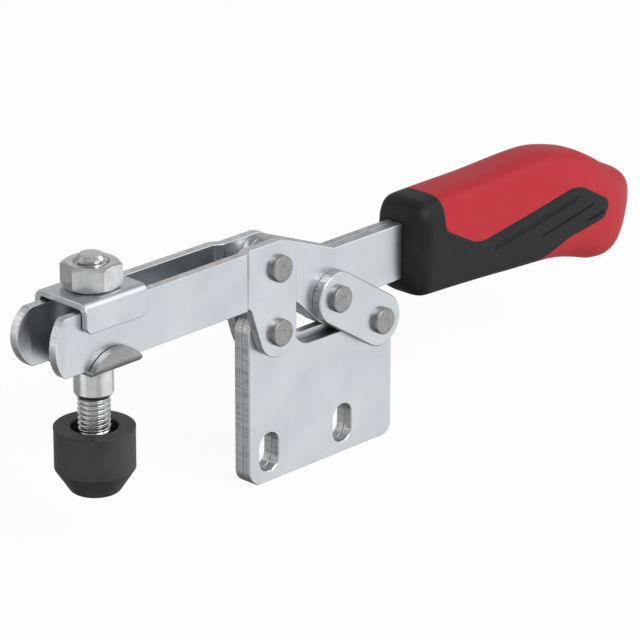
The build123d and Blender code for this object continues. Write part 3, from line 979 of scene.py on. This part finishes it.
@dataclass
class Handle:
    """The moulded handle: a hard body, a soft grip let into it and grooves in the grip's inlay.

    Sizes are in millimetres, and points are distances behind and above the arm's pivot. A groove
    has its two ends and its width.
    """

    pivot: Vector
    front: float = 46.5
    front_round: float = 5.5
    rear: float = 135.6
    rear_height: float = 2.3
    top_closure: Closure = Closure(123.7, 2.74)
    low_closure: Closure = Closure(119.8, 2.15)
    side_closure: Closure = Closure(122.7, 1.55)
    segments: int = 112
    front_rings: int = 10
    middle_rings: int = 72
    rear_rings: int = 26
    sections: tuple[Section, ...] = (
        Section(52.0, -5.0, 20.7, 8.6, 4.2), Section(62.0, -5.6, 21.0, 8.8, 3.8),
        Section(75.0, -6.43, 21.16, 9.2, 3.4), Section(86.0, -7.31, 21.69, 9.6, 3.1),
        Section(94.0, -7.83, 21.96, 9.8, 3.0), Section(100.0, -8.33, 21.77, 9.95, 2.9),
        Section(106.0, -9.42, 20.61, 10.05, 2.8), Section(112.0, -11.09, 18.8, 10.1, 2.7),
        Section(118.0, -12.87, 15.78, 10.0, 2.6), Section(124.0, -12.65, 12.19, 9.5, 2.5),
        Section(130.0, -7.78, 9.68, 8.6, 2.4))
    inlay: tuple[Point2, ...] = (
        (56.0, 12.4), (68.3, 5.9), (105.5, 12.6), (118.8, 4.9), (116.0, 0.8), (102.5, -1.5),
        (88.0, -10.0), (40.0, -16.0), (40.0, 30.0), (56.0, 30.0))
    inlay_rounds: dict[int, float] = field(default_factory=lambda: {
        0: 3.5, 1: 10.0, 2: 12.0, 3: 2.4, 4: 2.4, 5: 14.0})
    inlay_half_depth: float = 14.0
    grooves: tuple[tuple[Point2, Point2, float], ...] = (
        ((73.2, 2.9), (106.3, 9.2), 1.3), ((91.5, 1.8), (112.1, 6.0), 0.8),
        ((108.9, 1.6), (116.1, 2.8), 0.8))
    groove_depth: float = 0.5
    groove_run_out: float = 1.2
    groove_steps: int = 12
    pocket: tuple[Point2, ...] = ((40.0, 0.25), (60.0, 0.25), (60.0, 15.5), (40.0, 15.5))
    pocket_play: float = 0.2
    lip_round: float = 0.15
    lip_angle: float = 50.0
    sharp: float = 42.0

    def slope(self, number: int, name: str) -> float:
        """Works out how fast a size grows along the grip at one of the sections.

        Args:
            number: the section's number.
            name: the size's name.

        Returns:
            Growth for each millimetre.
        """
        first = self.sections[max(0, number - 1)]
        last = self.sections[min(len(self.sections) - 1, number + 1)]
        return (getattr(last, name) - getattr(first, name)) / (last.back - first.back)

    def at(self, back: float) -> Section:
        """Works out the section at one place, smoothed between its neighbours.

        Args:
            back: distance behind the arm's pivot.

        Returns:
            The section, drawn in near the rear end.
        """
        last_pair = len(self.sections) - 2
        k = max(0, min(last_pair, sum(row.back <= back for row in self.sections) - 1))
        before, after = self.sections[k], self.sections[k + 1]
        span = after.back - before.back
        t = (back - before.back) / span
        low, high, half_width, squareness = (
            (2 * t**3 - 3 * t**2 + 1) * getattr(before, name)
            + (t**3 - 2 * t**2 + t) * span * self.slope(k, name)
            + (3 * t**2 - 2 * t**3) * getattr(after, name)
            + (t**3 - t**2) * span * self.slope(k + 1, name)
            for name in ("low", "high", "half_width", "squareness"))
        pole = self.rear_height
        return Section(back, pole + (low - pole) * self.low_closure.share(back, self.rear),
                       pole + (high - pole) * self.top_closure.share(back, self.rear),
                       half_width * self.side_closure.share(back, self.rear), squareness)

    def ring(self, back: float) -> list[Vector]:
        """Lays points round the grip, drawn in over the rounding of its front.

        Args:
            back: distance behind the arm's pivot.

        Returns:
            The points.
        """
        shape = self.at(max(back, self.sections[0].back))
        half_height, half_width = (shape.high - shape.low) / 2, shape.half_width
        middle = (shape.high + shape.low) / 2
        ahead = self.front + self.front_round - back
        if ahead > 0:
            kept = math.sqrt(max(0.0, self.front_round**2 - ahead**2))
            half_height -= self.front_round - kept
            half_width -= self.front_round - kept
        points = []
        for k in range(self.segments):
            cos, sin = (turn(2 * math.pi * k / self.segments) for turn in (math.cos, math.sin))
            across, up = abs(cos) / max(half_width, 1e-6), abs(sin) / max(half_height, 1e-6)
            power = shape.squareness
            reach = (across**power + up**power) ** (-1 / power)
            points.append(self.pivot + Vector((back, reach * cos, middle + reach * sin)) * MM)
        return points

    def places(self) -> list[float]:
        """Spaces the rings along the grip, closer at both ends.

        Returns:
            The distance of each ring behind the arm's pivot.
        """
        start, stop, quarter = self.front + self.front_round, self.low_closure.start, math.pi / 2
        front = [self.front + self.front_round * (1 - math.cos(quarter * k / self.front_rings))
                 for k in range(self.front_rings)]
        middle = [start + (stop - start) * k / self.middle_rings for k in range(self.middle_rings)]
        rear = [stop + (self.rear - stop) * math.sin(quarter * k / self.rear_rings)
                for k in range(self.rear_rings)]
        return front + middle + rear

    def whole(self) -> Object:
        """Builds the whole outer shape as one closed mesh.

        Returns:
            The shape, which the hard body and the soft grip are cut from.
        """
        shape = bmesh.new()
        rings = [[shape.verts.new(point) for point in self.ring(back)] for back in self.places()]
        pole = shape.verts.new(self.pivot + Vector((self.rear, 0.0, self.rear_height)) * MM)
        for k in range(self.segments):
            nxt = (k + 1) % self.segments
            for first, second in zip(rings, rings[1:]):
                shape.faces.new((first[k], first[nxt], second[nxt], second[k]))
            shape.faces.new((rings[-1][k], rings[-1][nxt], pole))
        shape.faces.new(list(reversed(rings[0])))
        bmesh.ops.recalc_face_normals(shape, faces=shape.faces)
        return from_bmesh("grip_whole", shape)

    def prism(self, name: str, outline: Sequence[Point2], half_depth: float) -> Object:
        """Builds a block across the clamp.

        Args:
            name: the block's name.
            outline: its outline in the side view.
            half_depth: half of its depth.

        Returns:
            The block.
        """
        shape = bmesh.new()
        near, far = ([shape.verts.new(self.pivot + Vector((x, side * half_depth, z)) * MM)
                      for x, z in outline] for side in Side)
        shape.faces.new(near)
        shape.faces.new(list(reversed(far)))
        for k in range(len(near)):
            nxt = (k + 1) % len(near)
            shape.faces.new((near[k], far[k], far[nxt], near[nxt]))
        bmesh.ops.recalc_face_normals(shape, faces=shape.faces)
        return from_bmesh(name, shape)

    def groove_tool(self, start: Point2, end: Point2, width: float, side: Side) -> Object:
        """Builds the round tool that cuts one groove along the grip's side.

        Args:
            start: the groove's front end.
            end: its rear end.
            width: its width.
            side: the side of the grip.

        Returns:
            The tool.
        """
        depth = self.groove_depth
        radius = (width**2 / 4 + depth**2) / (2 * depth)
        points = []
        for k in range(self.groove_steps + 1):
            x, z = (a + (b - a) * k / self.groove_steps for a, b in zip(start, end))
            shape = self.at(x)
            height = abs(z - (shape.high + shape.low) / 2) / ((shape.high - shape.low) / 2)
            power = shape.squareness
            surface = shape.half_width * (1 - height**power) ** (1 / power)
            place = Vector((x, side * (surface + radius - depth), z))
            points.append(self.pivot + place * MM)
        return grow("groove_tool", polyline_mesh("groove_tool", points), Trees.groove, {
            "Tool Radius": radius * MM, "End Taper": self.groove_run_out / math.dist(start, end)})

    def cut(self, piece: Object, tool: Object, kind: Cut) -> None:
        """Adds one cut to a piece, by a closed shape."""
        modifier = piece.modifiers.new(kind.name.lower(), "BOOLEAN")
        modifier.operation, modifier.object, modifier.solver = kind.value, tool, "EXACT"

    def build(self) -> None:
        """Builds the hard body and the soft grip, whose slots are named as their finishes."""
        whole = self.whole()
        block = self.prism("inlay_block", rounded(self.inlay, self.inlay_rounds, 10, closed=True),
                           self.inlay_half_depth)
        tang = -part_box("lever_plate_near")[0].y / MM
        pocket = self.prism("tang_pocket", self.pocket, tang + self.pocket_play)
        tools = [self.groove_tool(start, end, width, side)
                 for start, end, width in self.grooves for side in Side]
        for node, kind, details, slot in (
                ("handle_body", Cut.OUTSIDE, [], "grip_red"),
                ("soft_grip", Cut.INSIDE, [pocket, *tools], "grip_black")):
            piece = new_object(f"{node}_moulded", whole.data.copy())
            self.cut(piece, block, kind)
            for tool in details:
                self.cut(piece, tool, Cut.OUTSIDE)
            round_edges(bake(piece), self.lip_round * MM, self.lip_angle)
            piece.data.materials.clear()
            piece.data.materials.append(FINISHES[slot])
            for face in piece.data.polygons:
                face.material_index = 0
            tidy_normals(piece, self.sharp)
            dress(piece, "lever", node)
        for spare in (whole, block, pocket, *tools):
            bpy.data.objects.remove(spare)


# Studio
@dataclass(frozen=True)
class Panel:
    """One soft panel of the studio: its direction, brightness and spread, angles in degrees."""

    azimuth: float
    elevation: float
    level: float
    inner: float
    outer: float


@dataclass(frozen=True)
class Lamp:
    """The studio's square lamp: its direction in degrees, power in watts, distance and size."""

    azimuth: float = 270.0
    elevation: float = 34.0
    power: float = 4.2
    distance: float = 0.9
    size: float = 0.5


def direction_to(light: Panel | Lamp) -> Vector:
    """Returns the unit vector from the clamp to a panel or lamp."""
    a, e = math.radians(light.azimuth), math.radians(light.elevation)
    return Vector((math.cos(a) * math.cos(e), math.sin(a) * math.cos(e), math.sin(e)))


@dataclass
class Studio:
    """Pale floor, soft light and the camera at the photograph's viewing angle.

    The camera's azimuth is counted from straight in front of the near side. The lower part of the
    room darkens between the two heights of the view's direction in dim_below.
    """

    pivot: Vector
    azimuth: float = 46.065
    elevation: float = 21.274
    roll: float = 0.106
    distance: float = 0.98185
    shift_right: float = 13.596 * MM
    shift_up: float = 1.626 * MM
    lens: float = 226.8
    sensor: float = 36.0
    clip: Range = (0.05, 50.0)
    floor_size: float = 6.0
    floor_gap: float = 0.05 * MM
    floor_white: float = 0.98
    floor_glow: float = 0.93
    room_level: float = 0.34
    room_tint: Colour = (0.98, 0.99, 1.0)
    dim_below: Range = (-0.9, -0.5)
    dim_level: float = 0.2
    panels: tuple[Panel, ...] = (
        Panel(318.0, -20.0, 0.98, 10.0, 66.0), Panel(167.0, -12.0, 1.05, 8.0, 28.0),
        Panel(208.0, -25.0, 0.66, 14.0, 58.0), Panel(140.0, 16.0, 1.0, 8.0, 40.0),
        Panel(44.0, 21.0, 0.6, 10.0, 36.0), Panel(44.0, -26.0, 0.6, 16.0, 44.0),
        Panel(334.0, 40.0, 1.7, 7.0, 22.0), Panel(0.0, 88.0, 0.5, 14.0, 50.0))
    key: Lamp = Lamp()

    def camera(self) -> None:
        """Places the camera."""
        a, e, roll = (math.radians(angle) for angle in (self.azimuth, self.elevation, self.roll))
        back = Vector((-math.sin(a) * math.cos(e), -math.cos(a) * math.cos(e), math.sin(e)))
        level = Vector((math.cos(a), -math.sin(a), 0.0))
        upright = back.cross(level)
        right = level * math.cos(roll) + upright * math.sin(roll)
        up = upright * math.cos(roll) - level * math.sin(roll)
        data = bpy.data.cameras.new("view")
        data.lens, data.sensor_width = self.lens, self.sensor
        data.clip_start, data.clip_end = self.clip
        camera = bpy.data.objects.new("view", data)
        place = Matrix((right, up, back)).transposed().to_4x4()
        aside = right * self.shift_right + up * self.shift_up
        place.translation = self.pivot + back * self.distance + aside
        camera.matrix_world = place
        bpy.context.scene.collection.objects.link(camera)
        bpy.context.scene.camera = camera

    def floor(self) -> None:
        """Lays a pale floor under the clamp, white to the camera and clear to mirrored light."""
        shape = bmesh.new()
        bmesh.ops.create_grid(shape, x_segments=1, y_segments=1, size=self.floor_size / 2)
        height = cad_bounds[0][2] - self.floor_gap
        bmesh.ops.translate(shape, verts=shape.verts, vec=(0.0, 0.0, height))
        floor = from_bmesh("floor", shape)
        material = bpy.data.materials.new("pale_floor")
        wiring = empty_tree(material)
        rays = wiring.add("ShaderNodeLightPath").outputs
        matt = wiring.add("ShaderNodeBsdfDiffuse", {"Color": (*[self.floor_white] * 3, 1.0)})
        glow = wiring.add("ShaderNodeEmission", {"Color": WHITE, "Strength": 1.0})
        seen = wiring.layered(wiring.maths("MULTIPLY", rays["Is Camera Ray"], self.floor_glow),
                              matt, glow)
        mirrored = wiring.maths("MAXIMUM", rays["Is Glossy Ray"], rays["Is Transmission Ray"])
        clear = wiring.add("ShaderNodeBsdfTransparent")
        shown = wiring.layered(mirrored, seen, clear)
        wiring.add("ShaderNodeOutputMaterial", {"Surface": shown})
        floor.data.materials.append(material)

    def world(self) -> None:
        """Lights everything with soft panels, and shows white behind the clamp."""
        world = bpy.data.worlds.new("studio")
        bpy.context.scene.world = world
        wiring = empty_tree(world)
        direction = wiring.add("ShaderNodeTexCoord").outputs["Generated"]
        level: Any = self.room_level
        for panel in self.panels:
            facing = wiring.add("ShaderNodeVectorMath", {0: direction, 1: direction_to(panel)},
                                operation="DOT_PRODUCT").outputs["Value"]
            edge, core = (math.cos(math.radians(angle)) for angle in (panel.outer, panel.inner))
            share = wiring.spread(facing, (edge, core), (self.room_level, panel.level),
                                  interpolation_type="SMOOTHSTEP")
            level = wiring.maths("MAXIMUM", share, level)
        height = wiring.add("ShaderNodeSeparateXYZ", {0: direction}).outputs[2]
        dimmed = wiring.spread(height, self.dim_below, (self.dim_level, 1.0))
        rays = wiring.add("ShaderNodeLightPath").outputs
        backdrop = wiring.maths("MAXIMUM", rays["Is Camera Ray"], rays["Is Transmission Ray"])
        lit = wiring.add("ShaderNodeBackground", {
            "Color": (*self.room_tint, 1.0), "Strength": wiring.maths("MULTIPLY", level, dimmed)})
        white = wiring.add("ShaderNodeBackground", {"Color": WHITE, "Strength": 1.0})
        shown = wiring.layered(backdrop, lit, white)
        wiring.add("ShaderNodeOutputWorld", {"Surface": shown})

    def lamp(self) -> None:
        """Hangs one soft square lamp that points at the clamp."""
        data = bpy.data.lights.new("key", "AREA")
        data.shape, data.size, data.energy = "SQUARE", self.key.size, self.key.power
        away = direction_to(self.key)
        lamp = bpy.data.objects.new("key", data)
        turn = (-away).to_track_quat("-Z", "Y").to_matrix().to_4x4()
        lamp.matrix_world = Matrix.Translation(self.pivot + away * self.key.distance) @ turn
        bpy.context.scene.collection.objects.link(lamp)

    def build(self) -> None:
        """Sets up camera, floor, world and lamp."""
        self.camera()
        self.floor()
        self.world()
        self.lamp()
        bpy.context.scene.view_settings.view_transform = "Standard"


def main() -> None:
    """Builds the clamp, sub-assembly by sub-assembly."""
    logging.basicConfig(level=logging.INFO, format="%(message)s")
    Trees.build()
    low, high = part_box("arm_pin")
    pivot = (low + high) / 2
    for finish in PALETTE:
        finish.make()
    for assembly in (Studio(pivot), Plates(), Pivots(), ClampingScrew(), Handle(pivot)):
        log.info("%s", type(assembly).__name__)
        assembly.build()


if __name__ == "__main__":
    main()
